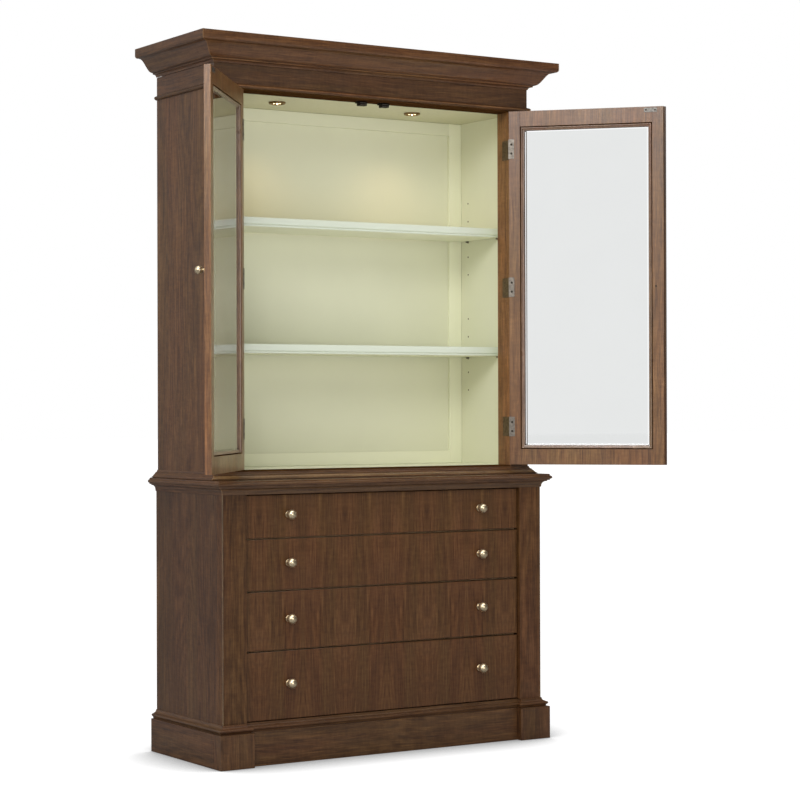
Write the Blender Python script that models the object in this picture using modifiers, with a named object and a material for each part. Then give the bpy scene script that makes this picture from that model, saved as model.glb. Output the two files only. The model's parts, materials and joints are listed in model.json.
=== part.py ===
"""China cabinet: a four-drawer base under a hutch with two glass doors.

Metres, +Z up. The front faces -Y and the left side is at -X. The origin is on the floor, at the
centre of the plinth's footprint. The doors stand open and the drawers are shut.
"""

from math import cos, pi, radians, sin

import bmesh
import bpy
from mathutils import Matrix, Vector

GAP = 0.0003                # clearance between pieces that touch

# Base cabinet
BASE_HALF = 0.600           # half the width over the base sides
FRONT = -0.213              # face of the base pilasters
BACK = 0.240                # everything ends flush with this plane
PLINTH_TOP = 0.106
PLINTH_OUT = 0.0205         # how far the plinth stands out at the sides
PLINTH_FRONT_OUT = 0.026
PLINTH_BLOCK = 0.118        # width of a corner block
PLINTH_RECESS = 0.024       # the middle lies behind the corner blocks
PLINTH_WALL = 0.024
MOULDING_RECESS = 0.016     # the base moulding steps back between the pilasters
BASE_BEAD_OUT = 0.0185
BASE_MOULDING_TOP = 0.134
BASE_SIDE = 0.020
BASE_BACK = 0.012
FACE_FRAME = 0.034          # thickness of the base face frame
PILASTER = 0.084
CASE_TOP = 0.8607
WAIST_COVE_Z = 0.8383       # the cove under the waist board starts here
TOP_THICK = 0.0207
TOP_OUT = 0.030
WAIST_Z = CASE_TOP + GAP + TOP_THICK

# Drawers, from the bottom up
DRAWER_EDGES = (0.134, 0.350, 0.536, 0.699, 0.8375)
DRAWER_GAP = 0.003
DRAWER_SET_BACK = 0.012
DRAWER_FRONT = FACE_FRAME - DRAWER_SET_BACK
BOX_HALF = 0.5035
BOX_DEPTH = 0.366
BOX_WALL = 0.012
BOX_BOTTOM = 0.008
BOX_RISE = 0.014            # a drawer box starts this far above its front
BOX_DROP = 0.030            # and ends this far below the top of it
KNOB_X = 0.361
KNOB_RISE = 0.005           # knobs sit this much above the middle of a front
DUST_PANEL = 0.014
GUIDE_HEIGHT = 0.034
FRONT_MARGIN = 0.0025       # above and below the drawer fronts as a group
FRONT_SIDE_GAP = 0.002

# Hutch
HUTCH_HALF = 0.594
HUTCH_FRONT = FRONT + 0.060
HUTCH_SIDE = 0.019
STILE = 0.072
FRAME_THICK = 0.025
POST_BACK = HUTCH_FRONT + 0.071
OPENING_Z = (0.911, 2.094)
HUTCH_TOP = 2.172
HUTCH_FOOT_TOP = 0.9065     # top of the moulding round the foot of the hutch
BOARD = 0.019
BACK_FRAME_Y = HUTCH_FRONT + 0.367
BACK_FRAME_THICK = 0.012
BACK_STILE = 0.050
BACK_PANEL_THICK = 0.0077
BACK_RAIL = 0.042
ASTRAGAL_Z = 2.105
ASTRAGAL_R = 0.007
CROWN_TOP = 2.258
CROWN_OUT = 0.0775
CROWN_LEDGE = 0.040         # the top board rests this far out
CROWN_LEDGE_Z = 2.238
CROWN_BACK = 0.018          # the cornice reaches this far in over the case

# Shelves
SHELF_Z = (1.279, 1.683)    # undersides of the shelves
SHELF_THICK = 0.030
SHELF_FRONT = FRONT + 0.190
SHELF_SIDE_GAP = 0.002
SHELF_BACK_GAP = 0.004

# Doors
OPEN_ANGLE = {"left": radians(129.0), "right": radians(133.0)}
DOOR_THICK = 0.021
DOOR_Z = (0.9135, 2.0915)
DOOR_HINGE_GAP = 0.0032
DOOR_MEETING = 0.0015
MEETING_LIP = 0.006         # the right door laps over the left one by this much
LAP_THICK = DOOR_THICK / 2
DOOR_STILE = 0.0515
DOOR_RAIL = 0.0655
REBATE = 0.0095
REBATE_DEPTH = 0.013
GLASS_THICK = 0.0045
PIVOT_X = HUTCH_HALF - STILE - 0.0016
PIVOT_Y = HUTCH_FRONT - 0.0045
DOOR_KNOB_Z = 1.503
DOOR_KNOB_INSET = 0.026

# Hinges
HINGE_Z = (1.040, 1.505, 1.966)
HINGE_HEIGHT = 0.065
KNUCKLE_R = 0.0038
PIN_R = 0.0013
BORE_R = 0.0016
LEAF = 0.0011
CASE_LEAF_WIDTH = 0.046
DOOR_LEAF_WIDTH = 0.018

# Knobs: radius, half depth and stand-off of the head, then the radii of the neck and the foot
KNOB = {"head": 0.016, "depth": 0.015, "centre": 0.0215, "neck": 0.006, "foot": 0.011}
DOOR_KNOB = {"head": 0.0125, "depth": 0.0120, "centre": 0.0200, "neck": 0.0045, "foot": 0.0085}
KNOB_FOOT_THICK = 0.0025

WALNUT = ((0.075, 0.034, 0.017), 0.42, 0.0)
PAINT = ((0.60, 0.60, 0.38), 0.50, 0.0)
DRAWER_WOOD = ((0.52, 0.36, 0.20), 0.55, 0.0)
GLASS = ((0.80, 0.84, 0.83), 0.03, 0.0)
NICKEL = ((0.55, 0.50, 0.43), 0.28, 1.0)
BRONZE = ((0.10, 0.075, 0.05), 0.38, 1.0)


def clear_scene():
    for obj in list(bpy.data.objects):
        bpy.data.objects.remove(obj, do_unlink=True)


def new_collection(name):
    made = bpy.data.collections.new(name)
    bpy.context.scene.collection.children.link(made)
    return made


def material(name, look):
    colour, roughness, metallic = look
    made = bpy.data.materials.new(name)
    made.use_nodes = True
    shader = made.node_tree.nodes["Principled BSDF"]
    shader.inputs["Base Color"].default_value = (*colour, 1.0)
    shader.inputs["Roughness"].default_value = roughness
    shader.inputs["Metallic"].default_value = metallic
    made.diffuse_color = (*colour, 1.0)
    return made


def add_object(name, data, look, parent=None):
    """Put a finished mesh or curve in the cabinet's collection with a material of its own."""
    obj = bpy.data.objects.new(name, data)
    cabinet.objects.link(obj)
    finish = material(name, look)
    if data.materials:
        obj.material_slots[0].link = "OBJECT"
        obj.material_slots[0].material = finish
    else:
        data.materials.append(finish)
    obj.parent = parent
    return obj


def cube_mesh(name, size):
    mesh = bpy.data.meshes.new(name)
    bm = bmesh.new()
    bmesh.ops.create_cube(bm, size=1.0, matrix=Matrix.Diagonal((*size, 1.0)))
    bm.to_mesh(mesh)
    bm.free()
    return mesh


def box(name, look, xs, ys, zs, parent=None):
    """A board between two values on each axis."""
    size = [b - a for a, b in (xs, ys, zs)]
    obj = add_object(name, cube_mesh(name, size), look, parent)
    obj.location = [(a + b) / 2 for a, b in (xs, ys, zs)]
    return obj


def helper_block(name, xs, ys, zs, parent=None):
    """A box that is cut from another piece or joined to it, and is no piece itself."""
    obj = bpy.data.objects.new(name, cube_mesh(name, [b - a for a, b in (xs, ys, zs)]))
    cutters.objects.link(obj)
    obj.location = [(a + b) / 2 for a, b in (xs, ys, zs)]
    obj.hide_render = True
    obj.display_type = "WIRE"
    obj.parent = parent
    return obj


def boolean(obj, other, operation="DIFFERENCE"):
    modifier = obj.modifiers.new(operation.title(), "BOOLEAN")
    modifier.operation = operation
    modifier.object = other
    modifier.solver = "EXACT"


def bevel(obj, width, segments=2):
    modifier = obj.modifiers.new("Bevel", "BEVEL")
    modifier.width = width
    modifier.segments = segments
    modifier.limit_method = "ANGLE"


def frame(name, look, xs, ys, zs, openings, parent=None):
    """A board with rectangular openings right through it from front to back."""
    obj = box(name, look, xs, ys, zs, parent)
    for number, (x_range, z_range) in enumerate(openings):
        through = (ys[0] - 0.01, ys[1] + 0.01)
        boolean(obj, helper_block(f"{name}_opening_{number}", x_range, through, z_range, parent))
    return obj


def outline(name, look, points, thickness, parent=None):
    """A flat outline in XY, extruded by thickness along Z from the object's origin upwards."""
    curve = bpy.data.curves.new(name, "CURVE")
    curve.dimensions = "2D"
    curve.fill_mode = "BOTH"
    curve.extrude = thickness / 2
    spline = curve.splines.new("POLY")
    spline.points.add(len(points) - 1)
    for point, (x, y) in zip(spline.points, points):
        point.co = (x, y, 0.0, 1.0)
    spline.use_cyclic_u = True
    return add_object(name, curve, look, parent)


def moulding(name, look, path, profile):
    """Sweep a closed profile of (stand-off, height) along a path, mitred at its corners.

    Each path point is a place and the direction that one unit of stand-off takes there.
    """
    bm = bmesh.new()
    place, mitre = path[0]
    face = bm.faces.new([bm.verts.new((*(place + out * mitre), z)) for out, z in profile])
    for next_place, next_mitre in path[1:]:
        start = face
        result = bmesh.ops.extrude_face_region(bm, geom=[start])
        face = next(item for item in result["geom"] if isinstance(item, bmesh.types.BMFace))
        if place != path[0][0]:
            bm.faces.remove(start)
        for vert in face.verts:
            out = (vert.co.xy - place).dot(mitre) / mitre.length_squared
            vert.co.xy = next_place + out * next_mitre
        place, mitre = next_place, next_mitre
    bmesh.ops.recalc_face_normals(bm, faces=bm.faces)
    mesh = bpy.data.meshes.new(name)
    bm.to_mesh(mesh)
    bm.free()
    return add_object(name, mesh, look)


def around(half, front, back, step=None):
    """The path round the left side, the front and the right side of a case.

    step is (half width, depth) of a stretch of the front that lies further back.
    """
    middle = []
    if step:
        for side in (-1, 1):
            corner = [(side * step[0], front), (side * step[0], front + step[1])]
            middle += [(Vector(at), Vector((-side, -1))) for at in corner[::-side]]
    ends = [(Vector((-half, back)), Vector((-1, 0))), (Vector((-half, front)), Vector((-1, -1)))]
    ends += [(Vector((half, front)), Vector((1, -1))), (Vector((half, back)), Vector((1, 0)))]
    return ends[:2] + middle + ends[2:]


def arc(centre, radii, start, end, steps):
    """Points of an elliptical arc, from one angle to another, in degrees."""
    angles = [radians(start + (end - start) * i / steps) for i in range(steps + 1)]
    return [(centre[0] + radii[0] * cos(a), centre[1] + radii[1] * sin(a)) for a in angles]


def turned(name, look, profile, steps, parent=None):
    """Turn a profile of (radius, height), listed from the top down, about local Z."""
    mesh = bpy.data.meshes.new(name)
    bm = bmesh.new()
    points = [bm.verts.new((radius, 0.0, height)) for radius, height in profile]
    for first, second in zip(points, points[1:]):
        bm.edges.new((first, second))
    bm.to_mesh(mesh)
    bm.free()
    obj = add_object(name, mesh, look, parent)
    screw = obj.modifiers.new("Screw", "SCREW")
    screw.steps = screw.render_steps = steps
    screw.use_merge_vertices = True
    screw.merge_threshold = 0.00001
    screw.use_smooth_shade = True
    return obj


def knob_profile(shape):
    """A flattened ball on a waisted neck and a flared foot, from the tip down to the foot."""
    wide, depth, centre, neck, foot = (shape[key] for key in ("head", "depth", "centre", "neck", "foot"))
    head = [(wide * sin(radians(a)), centre + depth * cos(radians(a))) for a in range(20, 156, 15)]
    stem = [(neck, 3 * KNOB_FOOT_THICK), (neck, 2 * KNOB_FOOT_THICK), (foot, KNOB_FOOT_THICK), (foot, 0.0)]
    return [(0.0, centre + depth)] + head + stem + [(0.0, 0.0)]


def knob(name, shape, location, parent=None):
    obj = turned(name, NICKEL, knob_profile(shape), 18, parent)
    obj.location = location
    obj.rotation_euler = (pi / 2, 0, 0)
    return obj


def make_plinth():
    """A ring on the floor with wider corner blocks and a bearer from front to back."""
    outer = BASE_HALF + PLINTH_OUT
    nose = FRONT - PLINTH_FRONT_OUT
    plinth = box("plinth", WALNUT, (-outer, outer), (nose, BACK), (0.0, PLINTH_TOP))
    inner = outer - PLINTH_BLOCK
    height = (-0.01, PLINTH_TOP + 0.01)
    recess = (nose - 0.01, nose + PLINTH_RECESS)
    boolean(plinth, helper_block("plinth_recess", (-inner, inner), recess, height))
    hollow = (nose + PLINTH_RECESS + PLINTH_WALL, BACK - PLINTH_WALL)
    bearer = 0.030
    for side, label in ((-1, "left"), (1, "right")):
        reach = sorted((side * bearer, side * (outer - PLINTH_WALL)))
        boolean(plinth, helper_block(f"plinth_hollow_{label}", reach, hollow, height))
    bevel(plinth, 0.0015, 1)


def make_base_case():
    low, high = PLINTH_TOP + GAP, CASE_TOP
    opening = BASE_HALF - PILASTER
    face = frame("base_face_frame", WALNUT, (-BASE_HALF, BASE_HALF), (FRONT, FRONT + FACE_FRAME),
                 (low, high), [((-opening, opening), (DRAWER_EDGES[0], DRAWER_EDGES[-1]))])
    step = BASE_HALF + PLINTH_OUT - PLINTH_BLOCK + BASE_BEAD_OUT
    boolean(face, helper_block("base_rail_recess", (-step, step), (FRONT - 0.01, FRONT + MOULDING_RECESS),
                               (low - 0.01, BASE_MOULDING_TOP + GAP)))
    behind = (FRONT + FACE_FRAME + GAP, BACK)
    for side, label in ((-1, "left"), (1, "right")):
        xs = sorted((side * (BASE_HALF - BASE_SIDE), side * BASE_HALF))
        box(f"base_side_{label}", WALNUT, xs, behind, (low, high))
    inside = BASE_HALF - BASE_SIDE - GAP
    box("base_back", WALNUT, (-inside, inside), (BACK - BASE_BACK, BACK), (low, high))
    levels = [low] + [edge - DUST_PANEL / 2 for edge in DRAWER_EDGES[1:-1]]
    names = ["base_bottom", "dust_panel_3", "dust_panel_2", "dust_panel_1"]
    depth = BACK - BASE_BACK - 2 * GAP - behind[0]
    for name, level in zip(names, levels):
        thick = DRAWER_EDGES[0] - low if name == "base_bottom" else DUST_PANEL
        rise = thick + GUIDE_HEIGHT
        tray = [(-inside, 0), (inside, 0), (inside, rise), (opening, rise), (opening, thick),
                (-opening, thick), (-opening, rise), (-inside, rise)]
        panel = outline(name, DRAWER_WOOD, tray, depth)
        panel.rotation_euler = (pi / 2, 0, 0)
        panel.location = (0, behind[0] + GAP + depth / 2, level)


def make_base_mouldings():
    step_half = BASE_HALF + PLINTH_OUT - PLINTH_BLOCK + BASE_BEAD_OUT
    low, high = PLINTH_TOP + GAP, BASE_MOULDING_TOP
    bead = arc((0.0125, 0.118), (0.006, 0.0045), -80, 70, 5)
    cove = arc((0.0145, high - 0.0005), (0.0115, 0.0105), 265, 185, 4)
    profile = [(GAP, low), (0.011, low), (0.011, 0.1125)] + bead + cove + [(0.0025, high), (GAP, high)]
    path = around(BASE_HALF, FRONT, BACK, (step_half, MOULDING_RECESS))
    moulding("base_moulding", WALNUT, path, profile)
    low, high = WAIST_COVE_Z, CASE_TOP
    cove = arc((0.0145, low + 0.004), (0.0115, 0.0165), 180, 92, 5)
    profile = [(GAP, low), (0.0025, low), (0.003, low + 0.003)] + cove + [(0.0175, high), (GAP, high)]
    moulding("waist_moulding", WALNUT, around(BASE_HALF, FRONT, BACK), profile)
    top_half = BASE_HALF + TOP_OUT
    top = box("base_top", WALNUT, (-top_half, top_half), (FRONT - TOP_OUT, BACK),
              (CASE_TOP + GAP, WAIST_Z))
    bevel(top, 0.005, 2)


def make_drawers():
    spans = list(zip(DRAWER_EDGES, DRAWER_EDGES[1:]))[::-1]
    face_y = FRONT + DRAWER_SET_BACK
    for number, (low, high) in enumerate(spans, 1):
        low, high = low + FRONT_MARGIN, high - (FRONT_MARGIN if number == 1 else DRAWER_GAP / 2)
        half = BASE_HALF - PILASTER - FRONT_SIDE_GAP
        front = box(f"drawer_front_{number}", WALNUT, (-half, half), (face_y, face_y + DRAWER_FRONT),
                    (low, high))
        bevel(front, 0.0015, 1)
        box_y = (face_y + DRAWER_FRONT + GAP, face_y + DRAWER_FRONT + BOX_DEPTH)
        bottom, top = low + BOX_RISE, high - BOX_DROP
        tray = box(f"drawer_box_{number}", DRAWER_WOOD, (-BOX_HALF, BOX_HALF), box_y, (bottom, top))
        inner = BOX_HALF - BOX_WALL
        hollow = (box_y[0] + BOX_WALL, box_y[1] - BOX_WALL)
        boolean(tray, helper_block(f"drawer_hollow_{number}", (-inner, inner), hollow,
                                   (bottom + BOX_BOTTOM, top + 0.01)))
        for side, label in ((-1, "left"), (1, "right")):
            height = (low + high) / 2 + KNOB_RISE
            knob(f"drawer_knob_{number}_{label}", KNOB, (side * KNOB_X, face_y - GAP, height))


def make_hutch_case():
    low = WAIST_Z + GAP
    opening = HUTCH_HALF - STILE
    frame("hutch_front_frame", WALNUT, (-HUTCH_HALF, HUTCH_HALF),
          (HUTCH_FRONT, HUTCH_FRONT + FRAME_THICK), (low, HUTCH_TOP),
          [((-opening, opening), OPENING_Z)])
    front = HUTCH_FRONT + FRAME_THICK + GAP
    inner = HUTCH_HALF - HUTCH_SIDE
    for side, label in ((-1, "left"), (1, "right")):
        corner = [(inner, BACK), (inner, POST_BACK), (opening, POST_BACK), (opening, front),
                  (HUTCH_HALF, front), (HUTCH_HALF, BACK)]
        panel = outline(f"hutch_side_{label}", WALNUT, [(side * x, y) for x, y in corner],
                        HUTCH_TOP - low)
        panel.location.z = (low + HUTCH_TOP) / 2
    tee = [(opening - GAP, front), (opening - GAP, POST_BACK + GAP), (inner - GAP, POST_BACK + GAP),
           (inner - GAP, BACK_FRAME_Y + BACK_FRAME_THICK)]
    tee += [(-x, y) for x, y in tee[::-1]]
    for name, z in (("hutch_floor", OPENING_Z[0] - BOARD / 2), ("hutch_ceiling", OPENING_Z[1] + BOARD / 2)):
        outline(name, WALNUT, tee, BOARD).location.z = z
    back_z = (OPENING_Z[0] + GAP, OPENING_Z[1] - GAP)
    inside = inner - GAP
    window = ((-inner + BACK_STILE, inner - BACK_STILE), (back_z[0] + BACK_RAIL, back_z[1] - BACK_RAIL))
    frame("hutch_back_frame", PAINT, (-inside, inside), (BACK_FRAME_Y, BACK_FRAME_Y + BACK_FRAME_THICK),
          back_z, [window])
    panel_y = BACK_FRAME_Y + BACK_FRAME_THICK + GAP
    box("hutch_back_panel", PAINT, (-inside, inside), (panel_y, panel_y + BACK_PANEL_THICK),
        (low, HUTCH_TOP))
    for name, z in zip(("shelf_lower", "shelf_upper"), SHELF_Z):
        width = inner - SHELF_SIDE_GAP
        depth = (SHELF_FRONT, BACK_FRAME_Y - SHELF_BACK_GAP)
        shelf = box(name, PAINT, (-width, width), depth, (z, z + SHELF_THICK))
        bevel(shelf, 0.002, 1)


def crown_profile():
    """Bed cove, fillet, cyma recta and fascia, with a ledge behind for the top board."""
    low = HUTCH_TOP + GAP
    start, end, steps = (0.0190, low + 0.0142), (0.0615, low + 0.0552), 8
    cyma = []
    for i in range(steps + 1):
        t = i / steps
        cyma.append((start[0] + (end[0] - start[0]) * t,
                     start[1] + (end[1] - start[1]) * (1 - cos(pi * t)) / 2))
    bed = arc((0.0115, low), (0.0095, 0.0085), 180, 95, 3)
    face = [(0.0145, low + 0.0089), (0.0145, low + 0.0140)] + cyma
    face += arc((0.0695, low + 0.0642), (CROWN_OUT - 0.0695, 0.0086), -85, 0, 3)
    face += [(CROWN_OUT, CROWN_TOP - 0.002), (CROWN_OUT - 0.002, CROWN_TOP)]
    behind = [(CROWN_LEDGE, CROWN_TOP), (CROWN_LEDGE, CROWN_LEDGE_Z), (CROWN_BACK, CROWN_LEDGE_Z)]
    behind += [(-CROWN_BACK, CROWN_LEDGE_Z - 0.023), (-CROWN_BACK, low)]
    return bed + face + behind


def make_hutch_mouldings():
    path = around(HUTCH_HALF, HUTCH_FRONT, BACK)
    low = WAIST_Z + GAP
    cove = arc((0.0230, low + 0.0215), (0.0215, 0.0175), 268, 182, 5)
    moulding("hutch_base_moulding", WALNUT, path,
             [(GAP, low), (0.023, low), (0.023, low + 0.003)] + cove
             + [(0.0012, HUTCH_FOOT_TOP), (GAP, HUTCH_FOOT_TOP)])
    bead = arc((GAP, ASTRAGAL_Z), (0.0092, ASTRAGAL_R), -90, 90, 6)
    moulding("astragal_moulding", WALNUT, path, bead)
    moulding("cornice_moulding", WALNUT, path, crown_profile())
    reach = HUTCH_HALF + CROWN_LEDGE - GAP
    box("cornice_top_board", WALNUT, (-reach, reach), (HUTCH_FRONT - CROWN_LEDGE + GAP, BACK),
        (CROWN_LEDGE_Z + GAP, CROWN_TOP - 0.008))
    inside = HUTCH_HALF - CROWN_BACK - GAP
    box("cornice_back_rail", WALNUT, (-inside, inside), (BACK - HUTCH_SIDE, BACK),
        (HUTCH_TOP + GAP, CROWN_LEDGE_Z))


def baked(obj):
    """The object's mesh in world space with its modifiers applied."""
    graph = bpy.context.evaluated_depsgraph_get()
    mesh = bpy.data.meshes.new_from_object(obj.evaluated_get(graph))
    mesh.transform(obj.matrix_world)
    return mesh


def rod(name, radius, low, high):
    """A rod along Z through the origin, used to build up or bore a hinge."""
    mesh = bpy.data.meshes.new(name)
    bm = bmesh.new()
    bmesh.ops.create_cone(bm, cap_ends=True, segments=16, radius1=radius, radius2=radius,
                          depth=high - low, matrix=Matrix.Translation((0, 0, (low + high) / 2)))
    bm.to_mesh(mesh)
    bm.free()
    obj = bpy.data.objects.new(name, mesh)
    cutters.objects.link(obj)
    obj.hide_render = True
    obj.display_type = "WIRE"
    return obj


def hinge_meshes():
    """The case leaf with its pin and the door leaf, for the right-hand door, on the pin's axis.

    The case leaf lies on the jamb. The door leaf runs along the door's edge and turns onto
    its back, and has the middle knuckle.
    """
    half, split = HINGE_HEIGHT / 2, 0.011
    clear = KNUCKLE_R + 0.0005
    case_x, door_x = (0.0002, 0.0002 + LEAF), (-0.0002 - LEAF, -0.0002)
    door_back = DOOR_THICK + HUTCH_FRONT - PIVOT_Y + GAP
    case = helper_block("hinge_case", case_x, (clear, CASE_LEAF_WIDTH), (-half, half))
    for sign, label in ((-1, "lower"), (1, "upper")):
        span = sorted((sign * split, sign * half))
        boolean(case, helper_block(f"hinge_case_tab_{label}", case_x, (0.0, clear + 0.001), span), "UNION")
        boolean(case, rod(f"hinge_case_knuckle_{label}", KNUCKLE_R, *span), "UNION")
    boolean(case, rod("hinge_pin", PIN_R, -half, half), "UNION")
    door = helper_block("hinge_door", door_x, (clear, door_back + LEAF), (-half, half))
    middle = (GAP - split, split - GAP)
    wrap = helper_block("hinge_door_wrap", (-DOOR_LEAF_WIDTH - 0.0016, -0.0002),
                        (door_back, door_back + LEAF), (-half, half))
    boolean(door, wrap, "UNION")
    boolean(door, helper_block("hinge_door_tab", door_x, (0.0, clear + 0.001), middle), "UNION")
    boolean(door, rod("hinge_door_knuckle", KNUCKLE_R, *middle), "UNION")
    boolean(door, rod("hinge_door_bore", BORE_R, -half, half))
    bpy.context.view_layer.update()
    return baked(case), baked(door)


def make_door(label, side, case_leaf, door_leaf):
    """A door on its pivot, modelled shut: local X runs from the hinge towards the other door."""
    pivot = bpy.data.objects.new(f"door_{label}_pivot", None)
    cabinet.objects.link(pivot)
    pivot.location = (side * PIVOT_X, PIVOT_Y, 0.0)
    pivot.rotation_euler.z = side * OPEN_ANGLE[label]

    def across(start, end):
        return sorted((-side * start, -side * end))

    edge = PIVOT_X - (HUTCH_HALF - STILE - DOOR_HINGE_GAP)
    meeting = PIVOT_X - DOOR_MEETING
    face = HUTCH_FRONT - PIVOT_Y
    back = face + DOOR_THICK
    rail_z = (DOOR_Z[0] + DOOR_RAIL, DOOR_Z[1] - DOOR_RAIL)
    stile_x = (edge + DOOR_STILE, meeting - DOOR_STILE)
    door = frame(f"door_{label}_frame", WALNUT, across(edge, meeting), (face, back), DOOR_Z,
                 [(across(*stile_x), rail_z)], pivot)
    rebate_z = (rail_z[0] - REBATE, rail_z[1] + REBATE)
    rebate_x = (stile_x[0] - REBATE, stile_x[1] + REBATE)
    boolean(door, helper_block(f"door_{label}_rebate", across(*rebate_x), (back - REBATE_DEPTH, back + 0.01),
                               rebate_z, pivot))
    lip_end = meeting + MEETING_LIP
    if side > 0:
        lip_x, lip_y = across(meeting - LAP_THICK, lip_end), (face, face + LAP_THICK - GAP)
        boolean(door, helper_block("door_right_lip", lip_x, lip_y, DOOR_Z, pivot), "UNION")
    else:
        lap_x, lap_y = across(2 * PIVOT_X - lip_end - DOOR_MEETING, lip_end), (face - 0.01, face + LAP_THICK)
        full_height = (DOOR_Z[0] - 0.01, DOOR_Z[1] + 0.01)
        boolean(door, helper_block("door_left_lap", lap_x, lap_y, full_height, pivot))
    ease = 0.001
    glass_y = (back - REBATE_DEPTH + GAP, back - REBATE_DEPTH + GAP + GLASS_THICK)
    box(f"door_{label}_glass", GLASS, across(rebate_x[0] + ease, rebate_x[1] - ease), glass_y,
        (rebate_z[0] + ease, rebate_z[1] - ease), pivot)
    knob(f"door_{label}_knob", DOOR_KNOB,
         (-side * (meeting - DOOR_KNOB_INSET), face - GAP, DOOR_KNOB_Z), pivot)
    turn = 0.0 if side > 0 else pi
    for level, height in zip(("lower", "middle", "upper"), HINGE_Z):
        leaf = add_object(f"hinge_{label}_{level}_case_leaf", case_leaf, BRONZE)
        leaf.location = (side * PIVOT_X, PIVOT_Y, height)
        leaf.rotation_euler.y = turn
        leaf = add_object(f"hinge_{label}_{level}_door_leaf", door_leaf, BRONZE, pivot)
        leaf.location.z = height
        leaf.rotation_euler.y = turn


clear_scene()
cabinet = new_collection("China cabinet")
cutters = new_collection("Cutters")
make_plinth()
make_base_case()
make_base_mouldings()
make_drawers()
make_hutch_case()
make_hutch_mouldings()
leaves = hinge_meshes()
make_door("left", -1, *leaves)
make_door("right", 1, *leaves)
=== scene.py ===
"""Looks for a china cabinet: walnut case, painted display interior and bevelled glass doors.

Metres, +Z up. The front faces -Y. Places come from the CAD frame, and profiles are given in millimetres.
"""

import json
from math import cos, pi, radians, sin

import bmesh
import bpy
from mathutils import Matrix, Vector


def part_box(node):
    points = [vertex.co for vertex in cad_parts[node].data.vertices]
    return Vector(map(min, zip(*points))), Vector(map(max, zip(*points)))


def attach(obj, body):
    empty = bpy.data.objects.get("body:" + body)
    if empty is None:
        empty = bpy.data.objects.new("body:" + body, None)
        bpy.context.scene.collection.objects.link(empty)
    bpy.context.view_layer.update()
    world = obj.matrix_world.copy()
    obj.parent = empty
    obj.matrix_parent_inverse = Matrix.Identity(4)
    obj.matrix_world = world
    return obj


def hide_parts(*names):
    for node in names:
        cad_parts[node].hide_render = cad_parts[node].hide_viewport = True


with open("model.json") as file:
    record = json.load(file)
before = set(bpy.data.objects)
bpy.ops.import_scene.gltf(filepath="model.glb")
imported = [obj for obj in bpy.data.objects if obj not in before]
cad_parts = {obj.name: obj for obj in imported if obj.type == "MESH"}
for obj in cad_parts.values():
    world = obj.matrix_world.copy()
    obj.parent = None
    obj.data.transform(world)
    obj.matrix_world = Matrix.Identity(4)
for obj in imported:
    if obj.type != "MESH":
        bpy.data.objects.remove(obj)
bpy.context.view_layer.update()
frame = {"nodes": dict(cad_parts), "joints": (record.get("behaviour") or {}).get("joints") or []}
scene = bpy.context.scene

MM = 0.001
GAP = 0.3 * MM
SLIT = 0.12 * MM
SIDES = ((-1, "left"), (1, "right"))
LEVELS = ("lower", "middle", "upper")

# -------- places taken from the frame

base_low, base_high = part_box("base_face_frame")
hutch_low, hutch_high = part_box("hutch_front_frame")
side_low, side_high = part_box("hutch_side_right")
bead_low, bead_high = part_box("astragal_moulding")
JOINTS = {joint["name"]: joint for joint in frame["joints"]}

BASE_HALF = base_high.x
BASE_FRONT = base_low.y
HUTCH_HALF = hutch_high.x
HUTCH_FRONT = hutch_low.y
BACK = side_high.y
OPENING_HALF = side_low.x
OPENING_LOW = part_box("hutch_floor")[1].z
OPENING_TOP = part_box("hutch_ceiling")[0].z
FRIEZE_JOINT = (bead_low.z + bead_high.z) / 2
POST_BACK = HUTCH_FRONT + 71 * MM
INNER_HALF = HUTCH_HALF - 19 * MM
PLINTH_BLOCK = 118 * MM


# -------- node helpers

def node(tree, kind, inputs=None, **settings):
    """Add a shader node, with its settings and its inputs: values, or sockets to link."""
    made = tree.nodes.new("ShaderNode" + kind)
    for key, value in settings.items():
        setattr(made, key, value)
    for key, value in (inputs or {}).items():
        if isinstance(value, bpy.types.NodeSocket):
            tree.links.new(value, made.inputs[key])
        else:
            made.inputs[key].default_value = value
    return made


def begin(name):
    """A new material, its empty node tree and the socket of its object coordinates."""
    made = bpy.data.materials.new(name)
    made.use_nodes = True
    tree = made.node_tree
    tree.nodes.clear()
    return made, tree, node(tree, "TexCoord").outputs["Object"]


def maths(tree, operation, first, second=0.0, third=0.0):
    return node(tree, "Math", {0: first, 1: second, 2: third}, operation=operation).outputs[0]


def vector(tree, operation, first, second):
    return node(tree, "VectorMath", {0: first, 1: second}, operation=operation).outputs[0]


def combined(tree, x, y=0.0, z=0.0):
    return node(tree, "CombineXYZ", {0: x, 1: y, 2: z}).outputs[0]


def noise(tree, place, scale, detail=2.0, roughness=0.5):
    """Noise at one scale, or at one scale across the grain and another along it."""
    if isinstance(scale, tuple):
        place, scale = vector(tree, "MULTIPLY", place, (scale[0], scale[0], scale[1])), 1.0
    inputs = {"Vector": place, "Scale": scale, "Detail": detail, "Roughness": roughness}
    return node(tree, "TexNoise", inputs).outputs[0]


def remap(tree, value, low, high, to_low=0.0, to_high=1.0):
    return node(tree, "MapRange", {0: value, 1: low, 2: high, 3: to_low, 4: to_high}).outputs[0]


def ramp(tree, value, stops):
    made = node(tree, "ValToRGB", {0: value})
    while len(made.color_ramp.elements) < len(stops):
        made.color_ramp.elements.new(0.5)
    for element, (place, colour) in zip(made.color_ramp.elements, stops):
        element.position = place
        element.color = (*colour, 1.0)
    return made.outputs[0]


def mixed(tree, factor, first, second, blend="MIX"):
    """A colour socket blended with another, or with a plain colour, as far as factor says."""
    inputs = {0: factor, 6: first, 7: (*second, 1.0) if isinstance(second, tuple) else second}
    return node(tree, "Mix", inputs, data_type="RGBA", blend_type=blend).outputs[2]


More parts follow.
